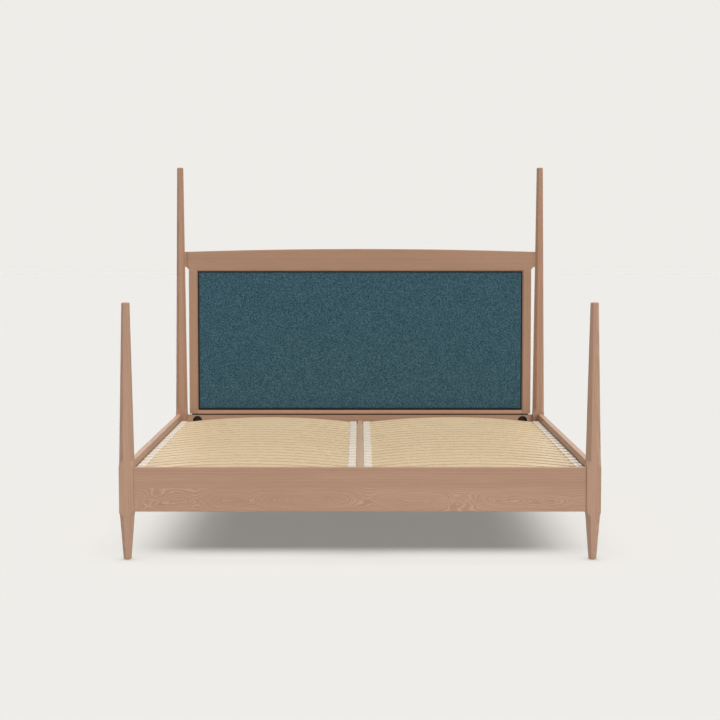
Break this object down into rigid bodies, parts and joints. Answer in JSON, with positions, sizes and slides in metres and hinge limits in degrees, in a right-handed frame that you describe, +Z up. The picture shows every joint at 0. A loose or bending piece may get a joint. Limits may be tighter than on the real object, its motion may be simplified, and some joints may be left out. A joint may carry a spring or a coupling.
{
  "type": "four poster bed",
  "caption": "Oak bed with tapered eight-sided posts, tall at the head and short at the foot, an upholstered headboard panel and bowed slats on a centre rail.",
  "frame": {"origin": "on the floor under the middle of the bed", "axes": "+Z up, +Y towards the head end, -Y towards the foot end, X across the bed"},
  "size_m": [1.918, 2.164, 1.649],
  "materials": {
    "oak": "light oak with a matt lacquer",
    "birch_ply": "birch plywood with a thin clear lacquer",
    "beech_dowel": "bare beech",
    "softwood": "planed softwood, bare",
    "holder_plastic": "moulded off-white plastic",
    "zinc_steel": "zinc plated",
    "black_steel": "black oxide",
    "foot_rubber": "black moulded foot on a threaded stem",
    "felt": "dense light brown felt",
    "headboard_fabric": "teal boucle wool over foam"
  },
  "bodies": {
    "bed_frame": {"foot_post_left": "oak", "foot_post_right": "oak", "head_post_left": "oak", "head_post_right": "oak", "felt_glides": "felt", "foot_rail": "oak", "head_rail": "oak", "side_rail_left": "oak", "side_rail_right": "oak", "rail_dowels": "beech_dowel", "rail_studs": "black_steel", "half_moon_washers": "black_steel", "rail_nuts": "black_steel", "side_ledger_left": "softwood", "side_ledger_right": "softwood", "centre_ledger_left": "softwood", "centre_ledger_right": "softwood", "ledger_screws": "zinc_steel", "centre_rail": "oak", "centre_bracket_foot": "zinc_steel", "centre_bracket_head": "zinc_steel", "bracket_screws": "zinc_steel", "slats_left": "birch_ply", "slats_right": "birch_ply", "slat_holders_outer_left": "holder_plastic", "slat_holders_inner_left": "holder_plastic", "slat_holders_inner_right": "holder_plastic", "slat_holders_outer_right": "holder_plastic", "centre_leg": "oak", "leg_plate": "zinc_steel", "leg_screws": "zinc_steel", "leg_insert": "zinc_steel", "headboard_top_rail": "oak", "headboard_stile_left": "oak", "headboard_stile_right": "oak", "headboard_bottom_rail": "oak", "headboard_pad": "headboard_fabric", "headboard_pad_board": "birch_ply", "headboard_back_panel": "oak", "headboard_packing_strip": "felt", "headboard_pins": "zinc_steel", "headboard_dowels": "beech_dowel", "panel_screws": "zinc_steel"},
    "levelling_foot": {"levelling_foot": "foot_rubber"}
  },
  "joints": [
    {"name": "levelling_foot_screw", "type": "slide", "parent": "bed_frame", "child": "levelling_foot", "axis": [0, 0, 1], "range_m": [-0.012, 0.007]}
  ]
}
